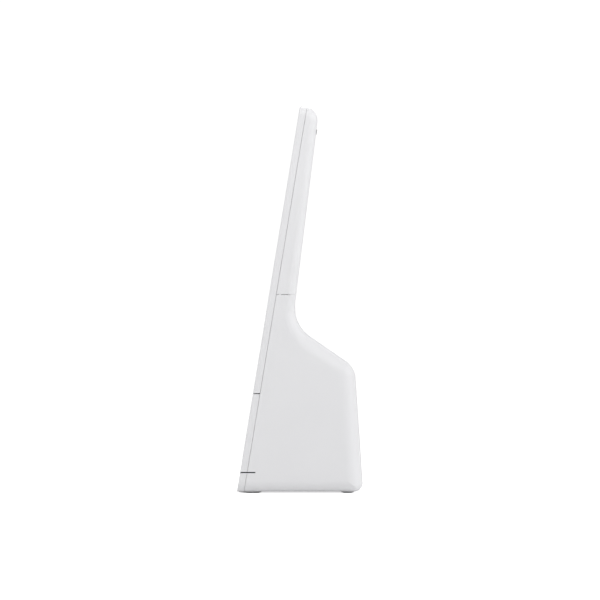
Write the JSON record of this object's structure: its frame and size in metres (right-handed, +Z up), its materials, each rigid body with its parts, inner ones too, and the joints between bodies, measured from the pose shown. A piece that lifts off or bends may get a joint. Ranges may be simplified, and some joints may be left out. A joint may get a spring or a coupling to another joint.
{
  "type": "video doorbell indoor station",
  "caption": "Table-standing indoor station of a video doorbell: a thin display slab leaning back on a thick rear base with speaker, push keys and camera shutter.",
  "frame": {"origin": "on the table, under the middle of the object's box", "axes": "+Z up, the display faces -Y, and +X is on the right of a viewer who looks at the display"},
  "size_m": [0.124, 0.075, 0.2301],
  "materials": {
    "white_plastic": "satin moulded white",
    "cover_glass": "polished, black printed border",
    "display": "smooth display film, off",
    "dark_plastic": "moulded black",
    "grey_plastic": "moulded grey",
    "smoked_plastic": "smoked light guide",
    "lens": "polished lens",
    "black_foam": "foam and soft rubber",
    "silicone": "matt silicone",
    "grey_rubber": "matt pale grey rubber",
    "speaker_paper": "pressed speaker cone",
    "circuit_board": "solder mask over laminate",
    "flex_film": "amber flexible film",
    "battery_wrap": "shrink sleeve",
    "wire_jacket": "soft wire jacket",
    "steel": "plated sheet steel",
    "aluminium": "plain rolled"
  },
  "bodies": {
    "housing": {"ballast_bar": "steel", "base_housing": "white_plastic", "base_screw_1": "steel", "base_screw_2": "steel", "base_screw_3": "steel", "base_screw_4": "steel", "battery_lead": "wire_jacket", "battery_pack": "battery_wrap", "battery_tray": "dark_plastic", "board_spacer_1": "aluminium", "board_spacer_2": "aluminium", "board_spacer_3": "aluminium", "board_spacer_4": "aluminium", "bracket_screw_1": "steel", "bracket_screw_2": "steel", "bracket_screw_3": "steel", "bracket_screw_4": "steel", "camera_lens": "lens", "camera_module": "dark_plastic", "chin_strip": "white_plastic", "cover_glass": "cover_glass", "display_bracket": "steel", "display_flex": "flex_film", "display_panel": "display", "front_foot": "grey_rubber", "front_frame": "white_plastic", "glass_tape": "black_foam", "heat_spreader": "aluminium", "inlet_board": "circuit_board", "key_board": "circuit_board", "key_mat": "silicone", "light_board": "circuit_board", "light_guide": "smoked_plastic", "lower_front_plate": "white_plastic", "main_board": "circuit_board", "mic_board": "circuit_board", "mic_boot": "black_foam", "pairing_switch": "dark_plastic", "power_inlet": "steel", "rear_foot": "grey_rubber", "service_cover": "white_plastic", "shield_can": "steel", "speaker_box": "dark_plastic", "speaker_cone": "speaker_paper", "speaker_frame": "dark_plastic", "speaker_gasket": "black_foam", "speaker_lead": "wire_jacket", "speaker_magnet": "steel", "upper_rear_cover": "white_plastic", "wifi_antenna_left": "flex_film", "wifi_antenna_right": "flex_film"},
    "view_key": {"view_key": "white_plastic"},
    "answer_key": {"answer_key": "white_plastic"},
    "unlock_key": {"unlock_key": "white_plastic"},
    "end_key": {"end_key": "white_plastic"},
    "camera_shutter": {"camera_shutter": "grey_plastic"},
    "pairing_button": {"pairing_button": "grey_plastic"}
  },
  "joints": [
    {"name": "view_key_press", "type": "slide", "parent": "housing", "child": "view_key", "axis": [0, 0.9869, -0.1616], "range_m": [0, 0.0008], "stiffness_N_per_m": 900, "springref_m": -0.0006},
    {"name": "answer_key_press", "type": "slide", "parent": "housing", "child": "answer_key", "axis": [0, 0.9869, -0.1616], "range_m": [0, 0.0008], "stiffness_N_per_m": 900, "springref_m": -0.0006},
    {"name": "unlock_key_press", "type": "slide", "parent": "housing", "child": "unlock_key", "axis": [0, 0.9869, -0.1616], "range_m": [0, 0.0008], "stiffness_N_per_m": 900, "springref_m": -0.0006},
    {"name": "end_key_press", "type": "slide", "parent": "housing", "child": "end_key", "axis": [0, 0.9869, -0.1616], "range_m": [0, 0.0008], "stiffness_N_per_m": 900, "springref_m": -0.0006},
    {"name": "camera_shutter_slide", "type": "slide", "parent": "housing", "child": "camera_shutter", "axis": [-1, 0, 0], "range_m": [0, 0.01]},
    {"name": "pairing_button_press", "type": "slide", "parent": "housing", "child": "pairing_button", "axis": [0, -0.9977, -0.0679], "range_m": [0, 0.0006], "stiffness_N_per_m": 1200, "springref_m": -0.0006}
  ]
}
